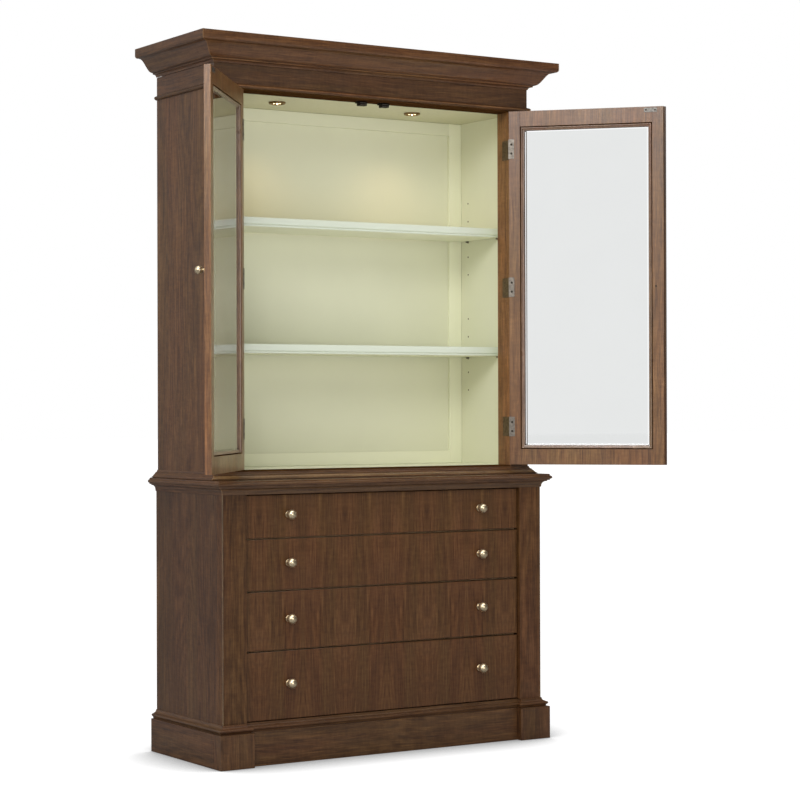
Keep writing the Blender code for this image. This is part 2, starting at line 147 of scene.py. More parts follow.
def bump(tree, height, strength, distance):
    return node(tree, "Bump", {"Height": height, "Strength": strength, "Distance": distance}).outputs[0]


def surface(made, **inputs):
    """Close a material with one Principled shader. Underscores in the names stand for spaces."""
    named = {key.replace("_", " "): value for key, value in inputs.items()}
    shader = node(made.node_tree, "BsdfPrincipled", named)
    node(made.node_tree, "OutputMaterial", {"Surface": shader.outputs[0]})
    return made


def dimmed(colour, factor):
    return tuple(channel * factor for channel in colour)


# -------- materials

GRAIN_TURN = {"Z": (0.0, 0.0, 0.0), "X": (0.0, pi / 2, 0.0), "Y": (pi / 2, 0.0, 0.0)}
WALNUT_TONES = ((0.037, 0.0150, 0.0054), (0.070, 0.0306, 0.0105),
                (0.088, 0.0398, 0.0136), (0.132, 0.0640, 0.0240))
TONE_STOPS = (0.12, 0.43, 0.58, 0.88)
WALNUT_HUES = ((0.36, (1.07, 0.94, 0.91)), (0.64, (1.01, 1.02, 0.90)))
PORE_COLOUR = (0.026, 0.0115, 0.005)
MAPLE_LIGHT, MAPLE_DARK = (0.56, 0.40, 0.235), (0.42, 0.275, 0.145)
PAINT_COLOUR = (0.745, 0.745, 0.56)
SHELF_COLOUR = (0.655, 0.70, 0.58)
# A darker copy of the interior paint for the ceiling: painted shade.
CEILING_SHADE_COLOUR = (0.58855, 0.5662, 0.3808)


def walnut(name, grain, seed, tone=1.0, red=0.0, blue=0.0, leaf=0.0, figure=1.0, depth=1.0, rough=0.38,
           shine=0.45):
    """Stained walnut under satin lacquer. Grain runs along one local axis.

    tone scales the whole colour, red its red part and blue its blue part.
    leaf is the width of the veneer leaves, which are laid as mirror pairs; 0 is solid wood.
    figure scales the growth rings and the cloudiness; straight-grained stock has little of them.
    depth scales the contrast of the streaks and the fibre.
    """
    made, tree, place = begin(f"walnut_{name}")
    along = node(tree, "Mapping", {0: place, 2: GRAIN_TURN[grain]}).outputs[0]
    if leaf:
        x, y, z = node(tree, "SeparateXYZ", {0: along}).outputs
        along = combined(tree, maths(tree, "PINGPONG", x, leaf), y, z)
    along = vector(tree, "ADD", along, (seed * 1.7, seed * 0.9, seed * 2.3))
    sway = remap(tree, noise(tree, along, (3.0, 1.6)), 0.0, 1.0, -16 * MM, 16 * MM)
    bent = vector(tree, "ADD", along, combined(tree, sway))
    field = noise(tree, bent, (6.0, 0.9), 1.0, 0.4)
    rings = remap(tree, maths(tree, "SINE", maths(tree, "MULTIPLY", field, 140.0)), -1.0, 1.0)
    streaks = noise(tree, bent, (150.0, 3.2), 4.0, 0.7)
    fibre = noise(tree, bent, (430.0, 14.0), 3.0, 0.75)
    ripple = noise(tree, along, (34.0, 120.0), 3.0, 0.65)
    cloud = noise(tree, along, (7.0, 2.6), 3.0)
    layers = ((rings, 0.22 * figure), (streaks, 1.05 * depth), (fibre, 1.60 * depth),
              (ripple, 0.50 * depth), (cloud, 0.50 * figure))
    body = 0.5 - sum(weight for _, weight in layers) / 2
    for layer, weight in layers:
        body = maths(tree, "MULTIPLY_ADD", layer, weight, body)
    tones = [(r * tone * (1 + red), g * tone, b * tone * (1 + blue - 0.3 * red)) for r, g, b in WALNUT_TONES]
    colour = ramp(tree, body, list(zip(TONE_STOPS, tones)))
    hue = noise(tree, bent, (13.0, 1.3))
    colour = mixed(tree, 1.0, colour, ramp(tree, hue, WALNUT_HUES), "MULTIPLY")
    patches = noise(tree, bent, (60.0, 2.0))
    pores = remap(tree, noise(tree, bent, (1100.0, 30.0), 1.0), 0.58, 0.70)
    pores = maths(tree, "MULTIPLY", pores, remap(tree, patches, 0.38, 0.58))
    lines = maths(tree, "MULTIPLY", maths(tree, "POWER", rings, 5.0),
                  remap(tree, patches, 0.40, 0.62, 0.0, 0.5 * figure))
    drawn = maths(tree, "MAXIMUM", maths(tree, "MULTIPLY", pores, 0.5), lines)
    colour = mixed(tree, drawn, colour, dimmed(PORE_COLOUR, tone))
    wear = remap(tree, noise(tree, along, 9.0, 3.0), 0.3, 0.7, rough - 0.04, rough + 0.05)
    height = maths(tree, "MULTIPLY_ADD", pores, -1.0, maths(tree, "MULTIPLY", fibre, 0.35))
    return surface(made, Base_Color=colour, Roughness=maths(tree, "MULTIPLY_ADD", pores, 0.14, wear),
                   Specular_IOR_Level=shine, Normal=bump(tree, height, 0.22, 0.12 * MM))


def paint(name, colour, seed=0.0):
    """Sprayed eggshell paint with a faint roller texture and a little unevenness of tone."""
    made, tree, place = begin(name)
    moved = vector(tree, "ADD", place, (seed, seed * 0.6, seed * 1.4))
    cloud = noise(tree, moved, 2.6, 3.0)
    tone = ramp(tree, cloud, [(0.30, dimmed(colour, 0.965)), (0.70, dimmed(colour, 1.02))])
    rough = remap(tree, noise(tree, moved, (90.0, 14.0)), 0.3, 0.7, 0.40, 0.52)
    return surface(made, Base_Color=tone, Roughness=rough, Specular_IOR_Level=0.40,
                   Normal=bump(tree, noise(tree, moved, 420.0), 0.10, 0.08 * MM))


def maple(name, grain, seed=0.0, tone=1.0):
    """Clear-finished maple for the drawer boxes and the inner boards."""
    made, tree, place = begin(name)
    shift = (seed, seed * 2.1, seed * 0.7)
    along = node(tree, "Mapping", {0: place, 1: shift, 2: GRAIN_TURN[grain]}).outputs[0]
    field = noise(tree, along, (9.0, 0.8), 1.0)
    rings = remap(tree, maths(tree, "SINE", maths(tree, "MULTIPLY", field, 50.0)), -1.0, 1.0)
    fibre = noise(tree, along, (260.0, 5.0), 3.0)
    body = maths(tree, "MULTIPLY_ADD", fibre, 0.6, maths(tree, "MULTIPLY", rings, 0.25))
    colour = ramp(tree, body, [(0.25, dimmed(MAPLE_LIGHT, tone)), (0.75, dimmed(MAPLE_DARK, tone))])
    return surface(made, Base_Color=colour, Roughness=remap(tree, fibre, 0.3, 0.7, 0.42, 0.56),
                   Specular_IOR_Level=0.35, Normal=bump(tree, fibre, 0.15, 0.1 * MM))


def metal(name, colour, rough, seed=0.0, dull=0.0, plated=1.0):
    """Plated metal: fine brushing, uneven sheen and a little tarnish in random patches."""
    made, tree, place = begin(name)
    moved = vector(tree, "ADD", place, (seed, seed, seed))
    cloud = noise(tree, moved, 130.0, 3.0)
    brushed = noise(tree, moved, (2600.0, 240.0), 1.0)
    tone = ramp(tree, cloud, [(0.32, dimmed(colour, 0.72 - dull)), (0.62, colour)])
    wear = remap(tree, cloud, 0.3, 0.7, rough + 0.08, rough - 0.04)
    return surface(made, Base_Color=tone, Metallic=plated,
                   Roughness=maths(tree, "MULTIPLY_ADD", brushed, 0.12, wear),
                   Normal=bump(tree, brushed, 0.10, 0.03 * MM))


def glass(name, tint):
    """Clear float glass that refracts, and lets lamps through to what is behind it."""
    made, tree, place = begin(name)
    shade = ramp(tree, noise(tree, place, 7.0, 1.0), [(0.3, dimmed(tint, 0.99)), (0.7, tint)])
    inputs = {"Base Color": shade, "Roughness": 0.0, "IOR": 1.5, "Transmission Weight": 1.0,
              "Specular Tint": (0.3, 0.3, 0.3, 1.0)}
    shader = node(tree, "BsdfPrincipled", inputs)
    through = node(tree, "BsdfTransparent", {0: (*tint, 1.0)})
    lamp_ray = node(tree, "LightPath").outputs["Is Shadow Ray"]
    blend = node(tree, "MixShader", {0: lamp_ray, 1: shader.outputs[0], 2: through.outputs[0]})
    node(tree, "OutputMaterial", {"Surface": blend.outputs[0]})
    return made


def glowing(name, colour, strength):
    """A warm lamp lens with a fine unevenness."""
    made, tree, place = begin(name)
    light = ramp(tree, noise(tree, place, 900.0, 1.0), [(0.35, dimmed(colour, 0.86)), (0.65, colour)])
    return surface(made, Base_Color=light, Roughness=0.3, Emission_Color=light, Emission_Strength=strength)


def studio_floor(name):
    """A white sweep with a soft shadow close round what stands on it. It lights the object only a little."""
    made, tree, place = begin(name)
    open_sky = node(tree, "AmbientOcclusion", {"Distance": 0.34}, samples=16).outputs["AO"]
    shade = remap(tree, open_sky, 0.50, 0.88, 0.33, 1.0)
    rays = node(tree, "LightPath").outputs
    glow = maths(tree, "MULTIPLY_ADD", rays["Is Transmission Ray"], 0.76, rays["Is Diffuse Ray"])
    glow = maths(tree, "MULTIPLY_ADD", rays["Is Camera Ray"], 0.92, glow)
    tone = ramp(tree, noise(tree, place, 1.5), [(0.3, (0.985, 0.985, 0.985)), (0.7, (1.0, 1.0, 1.0))])
    tone = mixed(tree, 1.0, tone, combined(tree, shade, shade, shade), "MULTIPLY")
    return surface(made, Base_Color=mixed(tree, 1.0, tone, (0.24, 0.24, 0.24), "MULTIPLY"), Roughness=0.8,
                   Specular_IOR_Level=0.1, Emission_Color=tone, Emission_Strength=glow)


looks = {
    "plinth_front": walnut("plinth_front", "X", 3.1, 0.95),
    "plinth_block": walnut("plinth_block", "Z", 4.4, 0.95),
    "plinth_side": walnut("plinth_side", "Y", 5.2, 0.8),
    "case_front": walnut("case_front", "Z", 1.3, 0.92, red=0.03, depth=0.9, shine=0.32),
    "drawer": walnut("drawer_veneer", "Z", 2.6, 0.99, leaf=0.155, figure=0.75, depth=0.8, shine=0.32),
    "case_side": walnut("side_veneer", "Z", 7.7, 0.78, leaf=0.21, depth=0.9, shine=0.40),
    "hutch_side": walnut("hutch_side", "Z", 9.2, 1.05, leaf=0.24),
    "run_x": walnut("moulding_front", "X", 6.5, 1.08, red=0.04, figure=0.3),
    "run_y": walnut("moulding_side", "Y", 8.1, 0.9, figure=0.3),
    # Lighter copies of the moulding walnut for the cornice's down-facing faces: painted light from below.
    "lit_underside_x": walnut("crown_painted_light_front", "X", 6.5, 1.25, red=0.05, figure=0.3, shine=0.6),
    "lit_underside_y": walnut("crown_painted_light_side", "Y", 8.1, 1.1, figure=0.3, shine=0.75),
    "skirt_x": walnut("skirt_front", "X", 6.5, 0.85, figure=0.3),
    "waist_x": walnut("waist_front", "X", 8.9, 1.0, red=-0.01, figure=0.3, shine=0.6),
    # A much lighter walnut for thin lines along fillets and bead noses: a painted highlight.
    "highlight_line_x": walnut("fillet_painted_highlight", "X", 6.5, 1.9, red=-0.04, figure=0.3, shine=0.6),
    # A pale walnut for the foot moulding's upward slope: a painted highlight.
    "ledge_highlight_x": walnut("ledge", "X", 6.5, 2.5, red=-0.24, figure=0.3, shine=0.6),
    # A dark walnut without sheen for the head and bottom rails, the front strips of the floor and ceiling,
    # and the rebate faces of the glazing beads: painted shade.
    "painted_shade_wood": walnut("painted_shade_wood", "X", 21.0, 0.66, figure=0.3, shine=0.0),
    # A light walnut for the strips at the mitres: a painted highlight along each mitre line.
    "mitre_highlight": walnut("mitre_painted_highlight", "Z", 3.3, 2.6, red=-0.15, figure=0.2, shine=0.8),
    # A light, grey walnut for the rounded front corners of the base: a painted highlight.
    "corner": walnut("case_corner_highlight", "Z", 3.3, 1.7, red=-0.25, figure=0.2, shine=0.8),
    "frieze": walnut("frieze", "X", 11.4, 0.9, red=-0.03, figure=0.6, shine=0.6),
    "frieze_side": walnut("frieze_side", "Y", 12.9, 0.95, figure=0.6),
    "jamb": walnut("jamb", "Z", 13.3, 1.0, figure=0.6),
    # A much lighter copy of the jamb walnut for the inward faces of the stiles and sides: painted light.
    "jamb_inside_lit": walnut("jamb_inside_lit", "Z", 13.3, 2.3, red=0.03, figure=0.6, shine=0.35),
    # The doors' inner faces: paler than their fronts, partly a lighter inside finish and partly painted
    # light; the left door's is lighter still, painted light where it turns away from the lamps.
    "door_left": walnut("left_door_inside_painted_light", "Z", 15.8, 2.6, red=-0.07, figure=0.8, rough=0.34, shine=0.62),
    "door_right": walnut("right_door_inside", "Z", 15.8, 2.0, red=-0.05, figure=0.8, depth=0.85,
                         rough=0.34, shine=0.64),
    "door_front": walnut("door_front", "Z", 16.6, 0.8, figure=0.7),
    # A pale, grey-blue walnut for the glazing beads: partly a paler bead, partly a painted reflection of the
    # bright interior.
    "pale_bead_and_sheen": walnut("glazing_bead", "Z", 19.5, 2.7, red=-0.22, blue=0.7, figure=0.3, rough=0.3,
                        shine=1.0),
    "paint": paint("interior_paint", PAINT_COLOUR),
    # A lighter copy of the interior paint for the back stiles, the lower back rail and the shelf undersides:
    # painted light.
    "paint_with_painted_light": paint("paint_with_painted_light", dimmed(PAINT_COLOUR, 1.13), 2.2),
    "ceiling_painted_shade": paint("ceiling_painted_shade", CEILING_SHADE_COLOUR, 1.7),
    "shelf_paint": paint("shelf_paint", SHELF_COLOUR, 3.0),
    "ply": maple("back_plywood", "Z", 2.0, 0.7),
    "maple_x": maple("maple_along_width", "X", 1.0),
    "maple_y": maple("maple_along_depth", "Y", 4.0),
    "nickel": metal("satin_nickel", (0.88, 0.72, 0.48), 0.19, plated=0.92),
    "bronze": metal("dark_bronze", (0.17, 0.118, 0.078), 0.36, 2.0),
    "brass": metal("antique_brass", (0.34, 0.22, 0.10), 0.30, 3.0, 0.2),
    "iron": metal("blackened_iron", (0.05, 0.043, 0.034), 0.5, 4.0),
    "pewter": metal("pewter_plate", (0.25, 0.235, 0.215), 0.45, 6.0),
    "steel": metal("zinc_plate", (0.27, 0.24, 0.205), 0.42, 5.0),
    "glass": glass("clear_glass", (0.795, 0.808, 0.805)),
    "bevel": glass("clear_bevel", (0.95, 0.96, 0.955)),
    "lamp": glowing("lamp_lens", (1.0, 0.74, 0.42), 4.5),
}


# -------- piece helpers

def link(name, data):
    """A new object in the scene."""
    obj = bpy.data.objects.new(name, data)
    scene.collection.objects.link(obj)
    return obj


def piece(name, bm, look, body="cabinet", place=None, ease=0.0, segments=2, sharp=35.0, replaced=(),
          choose=None):
    """Turn a bmesh into a finished piece.

    look is one key of looks, or several. choose(centre, normal) then says which of them a face takes.
    ease is the bevel on its edges in millimetres, and replaced holds the CAD nodes it stands for.
    """
    names = [look] if isinstance(look, str) else list(look)
    bmesh.ops.recalc_face_normals(bm, faces=bm.faces)
    if choose:
        bm.normal_update()
        for face in bm.faces:
            face.material_index = int(choose(face.calc_center_median(), face.normal))
    mesh = bpy.data.meshes.new(name)
    bm.to_mesh(mesh)
    bm.free()
    for key in names:
        mesh.materials.append(looks[key])
    mesh.shade_smooth()
    mesh.set_sharp_from_angle(angle=radians(sharp))
    obj = link(name, mesh)
    if place is not None:
        obj.matrix_world = place
    if ease:
        soft = obj.modifiers.new("Ease", "BEVEL")
        soft.width = ease * MM
        soft.segments = segments
        soft.limit_method = "ANGLE"
        soft.angle_limit = radians(40)
        soft.harden_normals = True
    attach(obj, body)
    if replaced:
        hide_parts(*replaced)


def add_block(bm, corner, opposite):
    """A box between two opposite corners, and its new faces."""
    corner, opposite = Vector(corner), Vector(opposite)
    size = [abs(length) for length in opposite - corner]
    matrix = Matrix.Translation((corner + opposite) / 2) @ Matrix.Diagonal((*size, 1.0))
    made = bmesh.ops.create_cube(bm, size=1.0, matrix=matrix)
    return {face for vert in made["verts"] for face in vert.link_faces}


def board(name, corner, opposite, look, body="cabinet", ease=0.8, **more):
    bm = bmesh.new()
    add_block(bm, corner, opposite)
    piece(name, bm, look, body, ease=ease, **more)


def from_node(name, node_name, look, body="cabinet", ease=0.5, cut=None, **more):
    """A piece in the shape of the CAD node it stands for, its solid welded and with its flat faces whole.

    cut is a point and a normal: faces are divided where that plane crosses, so that a look can change there.
    """
    bm = bmesh.new()
    bm.from_mesh(frame["nodes"][node_name].data)
    bmesh.ops.remove_doubles(bm, verts=bm.verts, dist=0.01 * MM)
    bmesh.ops.dissolve_limit(bm, angle_limit=radians(0.5), verts=bm.verts, edges=bm.edges)
    if cut:
        geometry = list(bm.verts) + list(bm.edges) + list(bm.faces)
        bmesh.ops.bisect_plane(bm, geom=geometry, plane_co=cut[0], plane_no=cut[1], dist=1e-7)
    piece(name, bm, look, body, ease=ease, replaced=[node_name], **more)


def loft(bm, rings):
    """Join rings of corners, one to the next, and close both ends. Returns the faces round the sides."""
    rings = [[bm.verts.new(spot) for spot in ring] for ring in rings]
    count = len(rings[0])
    sides = []
    for i in range(count):
        j = (i + 1) % count
        for first, second in zip(rings, rings[1:]):
            sides.append(bm.faces.new((first[i], first[j], second[j], second[i])))
    bm.faces.new(rings[0])
    bm.faces.new(rings[-1])
    return sides


def turned(bm, profile, steps=48, place=None):
    """Turn (radius, height) points about local Z into a closed solid."""
    rings = []
    for radius, height in profile:
        angles = [2 * pi * i / steps for i in range(steps)] if radius > 1e-6 else [0.0]
        rings.append([bm.verts.new((radius * cos(a), radius * sin(a), height)) for a in angles])
    for first, second in zip(rings, rings[1:]):
        for i in range(steps):
            j = (i + 1) % steps
            corners = [ring[k % len(ring)] for ring, k in ((first, i), (first, j), (second, j), (second, i))]
            unique = list(dict.fromkeys(corners))
            if len(unique) > 2:
                bm.faces.new(unique)
    verts = [vert for ring in rings for vert in ring]
    if place is not None:
        bmesh.ops.transform(bm, matrix=place, verts=verts)
    return verts


def arc(centre, radii, start, end, steps):
    """Points of an elliptical arc, from one angle to another, in degrees."""
    angles = [radians(start + (end - start) * i / steps) for i in range(steps + 1)]
    return [(centre[0] + radii[0] * cos(a), centre[1] + radii[1] * sin(a)) for a in angles]


def at(x, y, z):
    return Matrix.Translation((x, y, z))


def metres(profile, low=0.0):
    """A profile given in millimetres, with its heights counted from low."""
    return [(off * MM, low + height * MM) for off, height in profile]


def swept(name, start, end, profile, look, node_name, choose=None):
    """A closed profile of (stand-off, height) between two mitred ends.

    Each end is x, y and the direction that one unit of stand-off takes there.
    """
    bm = bmesh.new()
    loft(bm, [[(x + off * out_x, y + off * out_y, z) for off, z in profile]
              for x, y, out_x, out_y in (start, end)])
    piece(name, bm, look, choose=choose, replaced=[node_name])


# -------- mouldings

def returns(name, half, front, *more):
    """A moulding along both sides of the case. The braces in its name take left and right."""
    for side, hand in SIDES:
        swept(name.format(hand), (side * half, BACK, side, 0), (side * half, front + SLIT, side, -1), *more)


def height_of(node_name):
    """The height of a moulding in millimetres."""
    low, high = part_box(node_name)
    return (high.z - low.z) / MM


def runs(label, node_name, half, front, profile, looks_xy=("run_x", "run_y"), choose=None):
    """A moulding round the left side, the front and the right side, mitred at the corners.

    A thin strip stands proud at each mitre, in a light walnut that paints a highlight along the mitre line.
    """
    profile = metres(profile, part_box(node_name)[0].z)
    look_x, look_y = looks_xy
    edge, proud = 2.2 * MM, 0.3 * MM
    outer, face = half + proud, front - proud
    returns(f"{label}_{{}}_return", half, front, profile, look_y, node_name, choose)
    for side, name in SIDES:
        swept(f"{label}_{name}_mitre", (side * outer, face, side, -1),
              (side * (outer - edge), face, side, -1), profile, "mitre_highlight", node_name)
    swept(f"{label}_front", (SLIT - half, front, -1, -1), (half - SLIT, front, 1, -1),
          profile, look_x, node_name, choose)


def stepped_runs(label, node_name, half, front, profile, look_x, step_half, depth):
    """The same, but with the front set back by depth between two corner blocks."""
    profile = metres(profile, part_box(node_name)[0].z)
    inner = front + depth
    returns(f"{label}_{{}}_return", half, front, profile, "run_y", node_name)
    for side, name in SIDES:
        step = side * step_half
        swept(f"{label}_{name}_corner", (side * (half - SLIT), front, side, -1), (step, front, -side, -1),
              profile, look_x, node_name)
        swept(f"{label}_{name}_jog", (step, front + SLIT, -side, -1), (step, inner - SLIT, -side, -1),
              profile, "run_y", node_name)
    swept(f"{label}_front", (-step_half, inner, 1, -1), (step_half, inner, -1, -1),
          profile, look_x, node_name)


def make_cornice():
    """Bed cove, fillet, cyma, and a fascia whose top runs back to the boards behind."""
    low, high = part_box("cornice_moulding")
    top, out = (high.z - low.z) / MM, (high.x - HUTCH_HALF) / MM
    fillet_top = low.z + 14 * MM
    steps = 16
    cyma = [(19.0 + 42.5 * i / steps, 14.2 + 41.0 * (1 - cos(pi * i / steps)) / 2) for i in range(steps + 1)]
    profile = arc((11.5, 0), (9.5, 8.5), 178, 95, 7) + [(14.5, 9.0), (14.5, 13.2), (18.2, 13.4)]
    profile += cyma + [(63.5, top - 29.6)] + arc((69.5, top - 21.5), (out - 69.5, 8.6), -85, 0, 7)
    profile += arc((out - 1.5, top - 1.5), (1.5, 1.5), 10, 90, 4)
    profile += [(40, top), (40, top - 20), (2, top - 20), (0.3, top - 24), (0.3, 0)]

    # Down-facing faces take the lighter walnut of painted light from below; the bed fillet's upright faces
    # take a painted highlight line.
    def choose(centre, normal):
        if abs(normal.z) < 0.05 and centre.z < fillet_top:
            return 2
        return -0.97 < normal.z < -0.15

    runs("cornice", "cornice_moulding", HUTCH_HALF, HUTCH_FRONT, profile,
         (("run_x", "lit_underside_x", "highlight_line_x"), ("run_y", "lit_underside_y", "run_y")), choose)


def make_astragal():
    """A small bead between two fillets."""
    rise = height_of("astragal_moulding") / 2
    nose = (bead_high.x - HUTCH_HALF) / MM
    radius = rise * 0.80
    profile = [(0.3, 0), (1.6, 0)] + arc((nose - radius, rise), (radius, radius), -80, 80, 12)
    profile += [(1.6, 2 * rise), (0.3, 2 * rise)]
    # The bead's front nose takes the lighter walnut of a painted highlight.
    runs("astragal", "astragal_moulding", HUTCH_HALF, HUTCH_FRONT, profile,
         (("run_x", "highlight_line_x"), ("run_y", "run_y")), lambda centre, normal: abs(normal.z) < 0.3)


def make_foot():
    """The hutch's foot moulding: bead, slope, fillet and cove."""
    top = height_of("hutch_base_moulding")
    profile = [(0.3, 0), (22.4, 0)] + arc((21.6, 1.6), (1.4, 1.4), -80, 80, 6)
    profile += [(19.0, 3.3), (18.6, 4.6), (11.0, 12.6), (9.6, 13.4), (9.4, 15.2)]
    profile += arc((9.4, 21.6), (6.2, 5.6), 264, 186, 6) + [(2.6, top - 2.2), (1.2, top), (0.3, top)]
    # The slope's faces take the pale walnut of a painted highlight.
    runs("hutch_foot", "hutch_base_moulding", HUTCH_HALF, HUTCH_FRONT, profile,
         (("waist_x", "ledge_highlight_x"), ("run_y", "run_y")), lambda centre, normal: 0.67 < normal.z < 0.71)


def make_waist():
    """A cove under the waist board."""
    top = height_of("waist_moulding")
    profile = [(0.3, 0), (2.4, 0), (2.9, 2.2)] + arc((14.5, 3.4), (11.6, 15.4), 178, 94, 10)
    profile += [(15.2, top - 3.4), (17.5, top - 3.0), (17.5, top), (0.3, top)]
    runs("waist", "waist_moulding", BASE_HALF, BASE_FRONT, profile, ("waist_x", "run_y"))


def make_skirt():
    """Bead and cove over the plinth, which step back between its blocks."""
    top = height_of("base_moulding")
    profile = [(0.3, 0), (13.0, 0), (13.0, 3.2), (14.2, 5.2)] + arc((13.4, 11.0), (5.1, 4.6), -70, 78, 10)
    profile += [(11.6, 15.9)] + arc((13.0, top - 0.8), (10.4, 10.0), 262, 184, 8) + [(2.2, top), (0.3, top)]
    reach, depth = 18.5 * MM, 16 * MM
    step_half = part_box("plinth")[1].x - PLINTH_BLOCK + reach
    stepped_runs("skirt", "base_moulding", BASE_HALF, BASE_FRONT, profile, "skirt_x", step_half, depth)


def make_base_top():
    """The waist board: a flat top with a rounded nose that overhangs the cove."""
    low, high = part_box("base_top")
    top = height_of("base_top")
    overhang, inward = 30 * MM, 40
    half, front = high.x - overhang, low.y + overhang
    nose = [(-inward, 0), (23.8, 0), (24.3, 3.6)] + arc((24.6, 9.4), (5.4, 5.2), -75, 70, 10)
    nose += [(24.2, top - 5.2)] + arc((20.5, top - 3.4), (3.4, 3.2), 20, 90, 5) + [(-inward, top)]
    nose = metres(nose, low.z)
    returns("waist_top_{}_edge", half, front, nose, "run_y", "base_top")
    swept("waist_top_front_edge", (SLIT - half, front, -1, -1), (half - SLIT, front, 1, -1),
          nose, "waist_x", "base_top")
    inside = inward * MM + SLIT
    board("waist_top_panel", (inside - half, front + inside, low.z), (half - inside, BACK, high.z), "run_x")


# -------- case boards

def make_plinth():
    low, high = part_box("plinth")
    joint, recess, wall, bearer = 0.1 * MM, 24 * MM, 24 * MM, 30 * MM
    face = low.y + recess
    inner = high.x - PLINTH_BLOCK
    rear = high.x - wall - joint
    more = {"replaced": ["plinth"]}
    for side, name in SIDES:
        outer = side * high.x
        board(f"plinth_block_{name}", (side * inner, low.y, 0.0), (outer, face + wall, high.z),
              "plinth_block", ease=1.4, segments=3, **more)
        board(f"plinth_{name}_board", (side * (high.x - wall), face + wall + joint, 0.0),
              (outer, high.y, high.z), "plinth_side", ease=1.2, **more)
    board("plinth_front_board", (-inner + joint, face, 0.0), (inner - joint, face + wall, high.z),
          "plinth_front", ease=1.0, **more)
    board("plinth_back_board", (-rear, high.y - wall, 0.0), (rear, high.y, high.z), "plinth_front", **more)
    board("plinth_bearer", (-bearer, face + wall + joint, 0.0), (bearer, high.y - wall - joint, high.z),
          "maple_y", **more)


def make_base_case():
    from_node("face_frame", "base_face_frame", "case_front", ease=0.9)
    # A round bead at each front corner of the base, in the light walnut of a painted highlight.
    inset, radius = 1.6 * MM, 2.1 * MM
    heights = (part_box("base_moulding")[1].z - MM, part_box("waist_moulding")[0].z + MM)
    for side, name in SIDES:
        corner = arc((side * (BASE_HALF - inset), BASE_FRONT + inset), (radius, radius), 0, 340, 17)
        bm = bmesh.new()
        loft(bm, [[(x, y, z) for x, y in corner] for z in heights])
        piece(f"case_corner_highlight_{name}", bm, "corner", replaced=["base_face_frame"])
    for side, name in SIDES:
        from_node(f"side_panel_{name}", f"base_side_{name}", "case_side", ease=0.9)
    from_node("case_back", "base_back", "ply")
    for name in ("base_bottom", "dust_panel_1", "dust_panel_2", "dust_panel_3"):
        from_node(f"{name}_board", name, "maple_x")


def make_hutch_front():
    """Stiles, rails and frieze, with hairline joints between them."""
    low, high, slit = hutch_low, hutch_high, 0.15 * MM
    inner = OPENING_HALF - slit
    more = {"replaced": ["hutch_front_frame"]}
    # Inward faces of the stiles take the lighter jamb walnut of painted light.
    for side, name in SIDES:
        board(f"hutch_stile_{name}", (side * OPENING_HALF, low.y, low.z),
              (side * high.x, high.y, FRIEZE_JOINT - slit), ("jamb", "jamb_inside_lit"),
              choose=lambda centre, normal, side=side: normal.x * side < -0.5, **more)
    # Both rails take the dark walnut of painted shade.
    board("hutch_bottom_rail", (-inner, low.y, low.z), (inner, high.y, OPENING_LOW), "painted_shade_wood", **more)
    board("hutch_head_rail", (-inner, low.y, OPENING_TOP), (inner, high.y, FRIEZE_JOINT - slit), "painted_shade_wood",
          **more)
    board("hutch_frieze", (low.x, low.y, FRIEZE_JOINT + slit), high, "frieze", **more)


def make_hutch_case():
    for side, name in SIDES:
        def choose(centre, normal, side=side):
            faces_out = normal.x * side
            if abs(normal.z) < 0.5 and faces_out < 0.5 and POST_BACK - GAP < centre.y < BACK - GAP:
                return 1
            if centre.z > FRIEZE_JOINT and faces_out > 0.5:
                return 2
            # Inward faces take the lighter jamb walnut of painted light.
            if faces_out < -0.5:
                return 3
            return 4 if abs(normal.y) > 0.5 else 0

        from_node(f"hutch_side_panel_{name}", f"hutch_side_{name}",
                  ("hutch_side", "paint", "frieze_side", "jamb_inside_lit", "jamb"),
                  ease=0.7, cut=((0, 0, FRIEZE_JOINT), (0, 0, 1)), choose=choose)
    # The front strips of the floor and ceiling take the dark walnut of painted shade, and the ceiling takes
    # the darker paint of painted shade.
    for name, up, inside in (("hutch_floor", 1, "paint"), ("hutch_ceiling", -1, "ceiling_painted_shade")):
        from_node(f"{name}_board", name, ("painted_shade_wood", inside), cut=((0, POST_BACK + GAP, 0), (0, 1, 0)),
                  choose=lambda centre, normal, up=up: normal.z * up > 0.5 and centre.y > POST_BACK)
    from_node("back_panel", "hutch_back_panel", ("paint", "ply"), ease=0.3,
              choose=lambda centre, normal: normal.y > 0.5)
    make_back_frame()
    from_node("cornice_top", "cornice_top_board", "frieze", ease=0.6)
    from_node("cornice_rail", "cornice_back_rail", "frieze", ease=0.6)


def make_back_frame():
    """Stiles and rails in front of the back panel, with hairline joints."""
    low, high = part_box("hutch_back_frame")
    stile, rail, slit = 50 * MM, 42 * MM, 0.2 * MM
    inner = INNER_HALF - stile
    span = inner - slit
    more = {"replaced": ["hutch_back_frame"]}
    # The stiles and the lower rail take the lighter paint of painted light.
    for side, name in SIDES:
        board(f"back_stile_{name}", (side * inner, low.y, low.z), (side * high.x, high.y, high.z),
              "paint_with_painted_light", ease=1.2, **more)
    board("back_rail_lower", (-span, low.y, low.z), (span, high.y, low.z + rail), "paint_with_painted_light", ease=0.4,
          **more)
    board("back_rail_upper", (-span, low.y, high.z - rail), (span, high.y, high.z), "paint", ease=1.2,
          **more)


